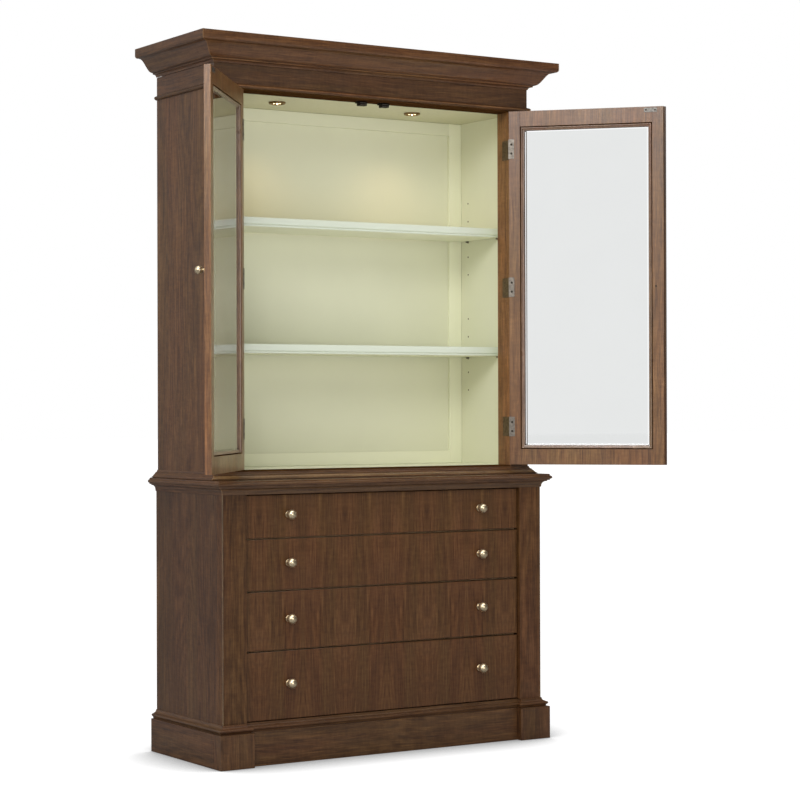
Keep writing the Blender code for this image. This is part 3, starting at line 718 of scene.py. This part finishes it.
def screw(bm, place, radius):
    """A countersunk screw head with a cross recess, its face on local Z = 0. Its radius is in millimetres."""
    rim, root = 0.15, -1.2
    verts = turned(bm, metres([(0.0, rim), (radius * 0.55, rim), (radius * 0.92, 0.0), (radius, -rim),
                               (radius * 0.5, root), (0.0, root)]), 20)
    long, short = radius * 0.62 * MM, radius * 0.16 * MM
    for x, y in ((short, long), (long, short)):
        faces = add_block(bm, (-x, -y, 0.02 * MM), (x, y, 0.17 * MM))
        verts += list({vert for face in faces for vert in face.verts})
    bmesh.ops.transform(bm, matrix=place, verts=list(set(verts)))


BACKWARD = Matrix.Rotation(-pi / 2, 4, "X")
FORWARD = Matrix.Rotation(pi / 2, 4, "X")


def make_back_screws():
    """Screws in two lines down each back board and along its ends."""
    bm = bmesh.new()
    inset, rows, columns = 14 * MM, 5, 4
    for name in ("hutch_back_panel", "base_back"):
        low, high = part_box(name)
        for i in range(rows + 1):
            z = low.z + inset + (high.z - low.z - 2 * inset) * i / rows
            for j in range(columns + 1):
                if 0 < i < rows and 0 < j < columns:
                    continue
                x = low.x + inset + (high.x - low.x - 2 * inset) * j / columns
                screw(bm, at(x, high.y, z) @ BACKWARD, 3.6)
    piece("back_screws", bm, "iron")


def make_shelves():
    """Painted shelves whose front edge has a flat band over a groove and a small bead."""
    band, groove = 21.5, 1.4
    for level in ("lower", "upper"):
        low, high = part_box(f"shelf_{level}")
        thick, deep = (high.z - low.z) / MM, (low.y - high.y) / MM
        bead = (thick - band - groove) / 2
        profile = [(-3, 0)] + arc((-2.0, -2.0), (2.0, 2.0), 90, 5, 5)
        profile += [(0.0, 0.8 - band), (-0.8, -band), (-3.0, -band), (-3.0, -band - groove)]
        profile += arc((-bead * 1.1, bead - thick), (bead * 1.1, bead), 90, -90, 10)
        profile += [(deep, -thick), (deep, 0)]
        # Undersides take the lighter paint of painted light from below.
        swept(f"shelf_{level}_board", (low.x, low.y, 0, -1), (high.x, low.y, 0, -1),
              metres(profile, high.z), ("shelf_paint", "paint_with_painted_light"), f"shelf_{level}",
              lambda centre, normal: normal.z < -0.9)


# -------- drawers

DRAWERS = range(1, 5)


def make_drawers():
    for number in DRAWERS:
        body = f"drawer_{number}"
        from_node(f"drawer_face_{number}", f"drawer_front_{number}", "drawer", body, ease=0.9)
        make_drawer_box(number, body)


def make_drawer_box(number, body):
    """Sides, front and back joined by dovetails, round a bottom board."""
    low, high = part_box(f"drawer_box_{number}")
    wall, bottom, slit, tail, set_in = 12 * MM, 8 * MM, 0.1 * MM, 24 * MM, 0.2 * MM
    tail_half, flare, pin_half = 0.26, 1.28, 0.20
    count = max(2, int((high.z - low.z) / (2 * tail) + 0.5))
    pitch = (high.z - low.z) / count
    inner = high.x - wall
    more = {"body": body, "replaced": [f"drawer_box_{number}"]}
    fine = {"ease": 0.25, "segments": 1, **more}
    for side, name in SIDES:
        bm = bmesh.new()
        x0, x1 = side * inner, side * high.x
        add_block(bm, (x0, low.y + wall, low.z), (x1, high.y - wall, high.z))
        for outer, root in ((low.y + set_in, low.y + wall), (high.y - set_in, high.y - wall)):
            for i in range(count):
                middle = low.z + pitch * (i + 0.5)
                faces = add_block(bm, (x0, outer, middle - tail_half * pitch),
                                  (x1, root, middle + tail_half * pitch))
                for vert in {vert for face in faces for vert in face.verts}:
                    if abs(vert.co.y - outer) < 1e-5:
                        vert.co.z = middle + (vert.co.z - middle) * flare
        piece(f"drawer_side_{number}_{name}", bm, "maple_y", **fine)
    for outer, root, name in ((low.y, low.y + wall, "front"), (high.y, high.y - wall, "back")):
        bm = bmesh.new()
        add_block(bm, (-inner, outer, low.z), (inner, root, high.z))
        for side, _ in SIDES:
            for i in range(count + 1):
                middle = low.z + pitch * i
                add_block(bm, (side * inner, outer, max(low.z, middle - pin_half * pitch)),
                          (side * high.x, root, min(high.z, middle + pin_half * pitch)))
        piece(f"drawer_{name}_{number}", bm, "maple_x", **fine)
    board(f"drawer_bottom_{number}", (-inner + slit, low.y + wall + slit, low.z + MM),
          (inner - slit, high.y - wall - slit, low.z + bottom), "maple_x", ease=0.2, **more)


# -------- knobs

DRAWER_KNOB = {"wide": 16.0, "depth": 15.0, "centre": 21.5, "neck": 6.0, "foot": 11.0}
DOOR_KNOB = {"wide": 12.5, "depth": 12.0, "centre": 20.0, "neck": 4.5, "foot": 8.5}


def knob_profile(wide, depth, centre, neck, foot):
    """A ball on a waisted neck and a flared foot with a small step."""
    head = [(0.0, centre + depth)] + arc((0.0, centre), (wide, depth), 84, -60, 26)
    stem = arc((neck + 2.6, 5.6), (2.6, 2.6), 120, 240, 10) + [(foot * 0.84, 3.1)]
    rim = arc((foot - 1.1, 1.4), (1.1, 1.2), 80, 0, 6) + [(foot, 0.0), (0.0, 0.0)]
    return metres(head + stem + rim)


def make_knob(name, node_name, body, shape, place):
    """A turned knob whose foot stands at place and points forward."""
    bm = bmesh.new()
    turned(bm, knob_profile(**shape))
    piece(name, bm, "nickel", body, place=place @ FORWARD, replaced=[node_name], sharp=50)


def make_drawer_knobs():
    for number in DRAWERS:
        for _, name in SIDES:
            node_name = f"drawer_knob_{number}_{name}"
            low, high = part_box(node_name)
            spot = at((low.x + high.x) / 2, high.y, (low.z + high.z) / 2)
            make_knob(f"knob_{number}_{name}", node_name, f"drawer_{number}", DRAWER_KNOB, spot)


# -------- doors

DOOR_FACE = 4.5 * MM
DOOR_BACK = DOOR_FACE + 21 * MM
DOOR_LOW, DOOR_HIGH = 0.9135, 2.0915
DOOR_EDGE = 1.6 * MM
MEETING_GAP = 1.5 * MM
STILE = 51.5 * MM
RAIL = 65.5 * MM
SIGHT = 3 * MM
PANE_LAP = 9.5 * MM
REBATE = 14 * MM
REBATE_FACE = DOOR_BACK - 13 * MM
LIP = 6 * MM
GLASS_FRONT = REBATE_FACE + GAP
GLASS_BACK = GLASS_FRONT + 4.5 * MM
KNOB_HEIGHT = 1.503
KNOB_INSET = 26 * MM
STRIKE_LOW, STRIKE_HIGH = 2.0730, 2.0875


class Door:
    """A door at its rest angle, in its own frame: u runs from the hinge to the meeting edge."""

    def __init__(self, side, label):
        joint = JOINTS[f"door_{label}_hinge"]
        pivot = Vector(joint["pos_m"])
        turn = Matrix.Rotation(side * radians(joint["range_deg"][1]), 4, "Z")
        self.side, self.label = side, label
        self.reach = abs(pivot.x)
        self.meeting = self.reach - MEETING_GAP
        self.us = (DOOR_EDGE + STILE, self.meeting - STILE)
        self.zs = (DOOR_LOW + RAIL, DOOR_HIGH - RAIL)
        self.place = at(pivot.x, pivot.y, 0.0) @ turn

    def piece(self, name, bm, look, **more):
        piece(name, bm, look, f"door_{self.label}", place=self.place, **more)

    def block(self, bm, us, ys, zs):
        add_block(bm, (-self.side * us[0], ys[0], zs[0]), (-self.side * us[1], ys[1], zs[1]))

    def spot(self, u, depth, z):
        return at(-self.side * u, depth, z)

    def corners(self, lap):
        """The corners of the frame's opening let out by lap, each with its directions inward."""
        u0, u1, z0, z1 = self.us[0] - lap, self.us[1] + lap, self.zs[0] - lap, self.zs[1] + lap
        return (u0, z0, 1, 1), (u1, z0, -1, 1), (u1, z1, -1, -1), (u0, z1, 1, -1)

    def ring(self, name, lap, profile, look, dark=0):
        """Four mitred strips of an (inset, depth) profile. Its first dark faces take the second look."""
        corners = self.corners(lap)
        for i, part in enumerate(("lower", "meeting", "upper", "hinge")):
            bm = bmesh.new()
            ends = [[(-self.side * (u + inset * in_u), depth, z + inset * in_z) for inset, depth in profile]
                    for u, z, in_u, in_z in (corners[i], corners[(i + 1) % 4])]
            for face in loft(bm, ends)[:dark]:
                face.material_index = 1
            self.piece(f"{name}_{self.label}_{part}", bm, look, replaced=[f"door_{self.label}_frame"])


def make_door_frame(door):
    """Stiles that run through and rails between them, all rebated for the pane from behind."""
    full = (DOOR_LOW, DOOR_HIGH)
    inside, label = f"door_{door.label}", door.label
    beyond = door.meeting + 0.1 * MM
    more = {"ease": 0.5, "replaced": [f"door_{label}_frame"]}

    # Inner faces take the door's paler inside walnut, partly painted light; edges take the right door's.
    def stile_look(centre, normal):
        if normal.y < -0.5 or abs(centre.x) > beyond:
            return 1
        return 2 if abs(normal.x) > 0.5 else 0

    stiles = (("hinge", DOOR_EDGE, door.us[0], -1), ("meeting", door.meeting, door.us[1], 1))
    for name, outer, inner, out in stiles:
        bm = bmesh.new()
        rebate = inner + out * REBATE
        if name == "hinge":
            door.block(bm, (outer, rebate), (DOOR_FACE, DOOR_BACK), full)
        else:
            laps = door.side > 0
            lap = (DOOR_FACE + DOOR_BACK) / 2 - (GAP if laps else 0)
            front_end = outer if laps else 2 * door.reach - outer - LIP - MEETING_GAP
            door.block(bm, (rebate, front_end), (DOOR_FACE, lap), full)
            if laps:
                door.block(bm, (outer, outer + LIP), (DOOR_FACE, lap), full)
            door.block(bm, (rebate, outer), (lap, DOOR_BACK), full)
        door.block(bm, (rebate, inner + out * SIGHT), (DOOR_FACE, REBATE_FACE),
                   (door.zs[0] - REBATE, door.zs[1] + REBATE))
        door.piece(f"door_stile_{label}_{name}", bm, (inside, "door_front", "door_right"), choose=stile_look,
                   **more)
    for name, outer, inner, out in (("lower", DOOR_LOW, door.zs[0], -1), ("upper", DOOR_HIGH, door.zs[1], 1)):
        bm = bmesh.new()
        rebate = inner + out * REBATE
        for lap, ys, zs in ((REBATE, (DOOR_FACE, DOOR_BACK), (outer, rebate)),
                            (SIGHT, (DOOR_FACE, REBATE_FACE), (rebate, inner + out * SIGHT))):
            door.block(bm, (door.us[0] - lap + SLIT, door.us[1] + lap - SLIT), ys, zs)
        door.piece(f"door_rail_{label}_{name}", bm, (inside, "door_front"),
                   choose=lambda centre, normal: normal.y < -0.5, **more)


def make_door_glazing(door):
    """Sticking round the front of the opening, a bead behind, and a pane bevelled on its front."""
    back = DOOR_BACK / MM
    face = DOOR_FACE / MM
    rebate = REBATE_FACE / MM
    sticking = [(0.0, face + 1.2), (0.0, rebate), (3, rebate), (3, face + 6.0)]
    sticking += arc((0.4, face + 4.6), (2.2, 3.2), 20, -80, 6)
    door.ring("door_sticking", SIGHT, metres(sticking), "door_front")
    behind = GLASS_BACK / MM + 0.2
    bead = [(0.4, behind), (0.4, back - 6.0), (2.8, back - 6.0), (2.8, back - 3.0)]
    bead += arc((5.0, back - 3.4), (2.1, 2.0), 150, 40, 5) + arc((11.4, back - 3.2), (4.4, 3.4), 180, 265, 6)
    bead += [(12.5, back - 6.9), (12.5, behind)]
    # The bead's first three faces, in the rebate, take the dark walnut of painted shade; the rest takes the
    # pale walnut with its painted reflection.
    door.ring("glazing_bead", REBATE, metres(bead), ("pale_bead_and_sheen", "painted_shade_wood"), 3)

    ease, bevelled, thin = 1 * MM, 14 * MM, 2.0 * MM
    steps = ((bevelled, GLASS_BACK), (ease, GLASS_BACK), (ease, GLASS_FRONT + thin), (bevelled, GLASS_FRONT))
    bm = bmesh.new()
    for side_face in loft(bm, [[(-door.side * (u + inset * in_u), depth, z + inset * in_z)
                                for u, z, in_u, in_z in door.corners(PANE_LAP)] for inset, depth in steps]):
        side_face.material_index = 1
    door.piece(f"door_pane_{door.label}", bm, ("glass", "bevel"), sharp=0.5,
               replaced=[f"door_{door.label}_glass"])


def make_door_metal(door):
    """Knob in front, strike plate and screws behind."""
    label = door.label
    knob_u = door.meeting - KNOB_INSET
    make_knob(f"door_knob_{label}_turned", f"door_{label}_knob", f"door_{label}", DOOR_KNOB,
              door.place @ door.spot(knob_u, DOOR_FACE - GAP, KNOB_HEIGHT))
    plate, thick = (door.meeting - 64 * MM, door.meeting - 21 * MM), 1.0 * MM
    bm = bmesh.new()
    door.block(bm, plate, (DOOR_BACK - 0.2 * MM, DOOR_BACK + thick), (STRIKE_LOW, STRIKE_HIGH))
    door.piece(f"strike_plate_{label}", bm, "pewter", ease=0.5)
    bm = bmesh.new()
    for u in (plate[0] + 6.5 * MM, plate[1] - 6.5 * MM):
        screw(bm, door.spot(u, DOOR_BACK + thick, (STRIKE_LOW + STRIKE_HIGH) / 2) @ BACKWARD, 3.0)
    screw(bm, door.spot(knob_u, DOOR_BACK, KNOB_HEIGHT - 2 * MM) @ BACKWARD, 3.4)
    for level in LEVELS:
        low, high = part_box(f"hinge_{label}_{level}_door_leaf")
        for rise in (-15 * MM, 15 * MM):
            height = (low.z + high.z) / 2 + rise
            screw(bm, door.spot(10.5 * MM, DOOR_BACK + 1.4 * MM, height) @ BACKWARD, 4.2)
    door.piece(f"door_screws_{label}", bm, "iron")


def make_hinges():
    """Both leaves of each hinge, and the screws in the leaves on the case."""
    for side, label in SIDES:
        bm = bmesh.new()
        inward = Matrix.Rotation(-side * pi / 2, 4, "Y")
        for level in LEVELS:
            for half, body, look in (("case", "cabinet", "bronze"), ("door", f"door_{label}", "steel")):
                name = f"hinge_{label}_{level}_{half}_leaf"
                from_node(f"{name}_plate", name, look, body, ease=0.25, sharp=40)
            low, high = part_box(f"hinge_{label}_{level}_case_leaf")
            face = (low.x if side > 0 else high.x) + 3.65 * side * MM
            for rise in (-19 * MM, 19 * MM):
                screw(bm, at(face, high.y - 9 * MM, (low.z + high.z) / 2 + rise) @ inward, 2.9)
        piece(f"hinge_screws_{label}", bm, "bronze")


# -------- fittings in the hutch

PUCK_X = 260 * MM
PUCK_Y = 43 * MM


def make_puck(name, x):
    """A surface puck light: a turned ring round a dished face with three small lamps."""
    down = at(x, PUCK_Y, OPENING_TOP) @ Matrix.Rotation(pi, 4, "X")
    dish = [(0, 1.0), (19.0, 1.4), (20.5, 4.6)] + arc((23.6, 4.2), (3.1, 2.6), 165, 20, 10)
    dish += [(27.4, 3.2), (27.8, 0), (0, 0)]
    bm = bmesh.new()
    turned(bm, metres(dish), 64)
    piece(f"puck_{name}_ring", bm, "brass", place=down)
    lens = metres([(0, 5.6)] + arc((0, 2.0), (3.9, 3.5), 75, 0, 6) + [(3.9, 0), (0, 0)])
    ring, count, first = 11.5 * MM, 3, -1.0
    bm = bmesh.new()
    for i in range(count):
        angle = 2 * pi * i / count + first
        turned(bm, lens, 24, at(ring * cos(angle), ring * sin(angle), MM))
    piece(f"puck_{name}_lamps", bm, "lamp", place=down)


def make_catches():
    """Two magnetic catches under the ceiling, each a housing with a steel face."""
    def block(bm, x, half, ys, drops):
        add_block(bm, ((x - half) * MM, ys[0] * MM, OPENING_TOP - drops[0] * MM),
                  ((x + half) * MM, ys[1] * MM, OPENING_TOP - drops[1] * MM))

    for name, x in (("left", -36), ("right", 48)):
        bm = bmesh.new()
        block(bm, x, 19, (-121, -105), (7, 0))
        block(bm, x, 14, (-126.5, -107), (15, 3))
        piece(f"magnetic_catch_{name}", bm, "iron", ease=1.0)
        bm = bmesh.new()
        for drop in (12, 6):
            block(bm, x, 12, (-127.3, -120), (drop + 1, drop - 1))
        piece(f"catch_poles_{name}", bm, "steel", ease=0.3)


HOLE_ROWS_Y = (-0.010, 0.172)
HOLE_Z = (1.5663, 1.6277, 1.6894, 1.7515, 1.8140)
HOLE_DROP = 0.4014


def make_shelf_supports():
    """Lined peg holes up both walls, and a pin under each corner of each shelf."""
    socket = metres([(0, 0.05), (1.9, 0.05), (2.2, 0.35), (2.9, 0.35), (3.1, 0), (0, 0)])
    pin = metres([(0, 9), (2.2, 9), (2.6, 8.6), (2.6, 1.6), (4.2, 1.2), (4.2, 0), (0, 0)])
    for side, label in SIDES:
        inward = Matrix.Rotation(-side * pi / 2, 4, "Y")
        holes, pins = bmesh.new(), bmesh.new()
        for y in HOLE_ROWS_Y:
            for z in HOLE_Z + tuple(z - HOLE_DROP for z in HOLE_Z):
                turned(holes, socket, 20, at(side * INNER_HALF, y, z) @ inward)
            for level in ("lower", "upper"):
                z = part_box(f"shelf_{level}")[0].z - 3.2 * MM
                turned(pins, pin, 20, at(side * INNER_HALF, y, z) @ inward)
        piece(f"peg_holes_{label}", holes, "bronze")
        piece(f"shelf_pins_{label}", pins, "steel")


# -------- studio

def make_floor():
    bm = bmesh.new()
    bmesh.ops.create_grid(bm, x_segments=1, y_segments=1, size=60.0)
    mesh = bpy.data.meshes.new("studio_floor")
    bm.to_mesh(mesh)
    bm.free()
    mesh.materials.append(studio_floor("studio_floor"))
    link("studio_floor", mesh)


ROOM_BRIGHT = (-0.97, -0.20, 0.10)
ROOM_DARK = (-0.54, -0.84, 0.0)


def make_world():
    """A white room, brightest towards the left, with a dark doorway.

    Seen straight or through glass it is plain white.
    """
    world = bpy.data.worlds.new("studio")
    world.use_nodes = True
    tree = world.node_tree
    tree.nodes.clear()
    rays = node(tree, "LightPath").outputs
    seen = maths(tree, "MAXIMUM", rays["Is Camera Ray"], rays["Is Transmission Ray"])
    ahead = node(tree, "TexCoord").outputs["Generated"]
    bright, dark = [node(tree, "VectorMath", {0: ahead, 1: toward}, operation="DOT_PRODUCT").outputs["Value"]
                    for toward in (ROOM_BRIGHT, ROOM_DARK)]
    room = maths(tree, "MULTIPLY", remap(tree, bright, -0.3, 0.9, 0.08, 0.90),
                 remap(tree, dark, 0.90, 0.98, 1.0, 0.2))
    strength = maths(tree, "MULTIPLY_ADD", seen, maths(tree, "SUBTRACT", 1.0, room), room)
    back = node(tree, "Background", {0: (1.0, 1.0, 1.0, 1.0), 1: strength})
    node(tree, "OutputWorld", {0: back.outputs[0]})
    scene.world = world


def light(name, kind, power, place=(0.0, 0.0, 0.0), aim=None, **settings):
    """A light at a place. It shines along aim, or straight down."""
    data = bpy.data.lights.new(name, kind)
    data.energy = power
    for key, value in settings.items():
        setattr(data, key, value)
    obj = link(name, data)
    obj.location = place
    if aim:
        obj.rotation_euler = Vector(aim).to_track_quat("-Z", "Y").to_euler()


def make_lights():
    middle = Vector((0.0, 0.0, 1.2))
    areas = (("key", (-3.6, -3.1, 3.6), (2.6, 1.5), 112), ("fill", (-1.2, -6.5, 1.7), (3.0, 2.4), 57))
    for name, place, (wide, high), power in areas:
        light(name, "AREA", power, place, middle - Vector(place), shape="RECTANGLE", size=wide, size_y=high)
    light("overhead", "SUN", 1.7, aim=(0.05, 0.12, -1.0), angle=radians(60))
    for side, name in SIDES:
        light(f"puck_beam_{name}", "SPOT", 1.9, (side * PUCK_X, PUCK_Y, OPENING_TOP - 9 * MM),
              color=(1.0, 0.72, 0.42), spot_size=radians(118), spot_blend=1.0, shadow_soft_size=20 * MM)


CAMERA_AZIMUTH = radians(32.567)
CAMERA_PITCH = radians(0.131)
CAMERA_ROLL = radians(-0.166)
CAMERA_PLACE = (-3.7833, -6.2074, 1.1127)
CAMERA_LENS = 99.645


def make_camera():
    data = bpy.data.cameras.new("camera")
    data.lens = CAMERA_LENS
    data.sensor_width = 36.0
    data.clip_end = 200.0
    obj = link("camera", data)
    tilted = Matrix.Rotation(pi / 2 + CAMERA_PITCH, 4, "X") @ Matrix.Rotation(CAMERA_ROLL, 4, "Z")
    obj.matrix_world = at(*CAMERA_PLACE) @ Matrix.Rotation(-CAMERA_AZIMUTH, 4, "Z") @ tilted
    scene.camera = obj


make_camera()
make_floor()
make_world()
make_lights()
make_plinth()
make_base_case()
for make_moulding in (make_cornice, make_astragal, make_foot, make_waist, make_skirt):
    make_moulding()
make_base_top()
make_hutch_front()
make_hutch_case()
make_shelves()
make_drawers()
make_drawer_knobs()
for side, label in SIDES:
    door = Door(side, label)
    make_door_frame(door)
    make_door_glazing(door)
    make_door_metal(door)
make_hinges()
for side, label in SIDES:
    make_puck(label, side * PUCK_X)
make_catches()
make_shelf_supports()
make_back_screws()
scene.view_settings.view_transform = "Standard"
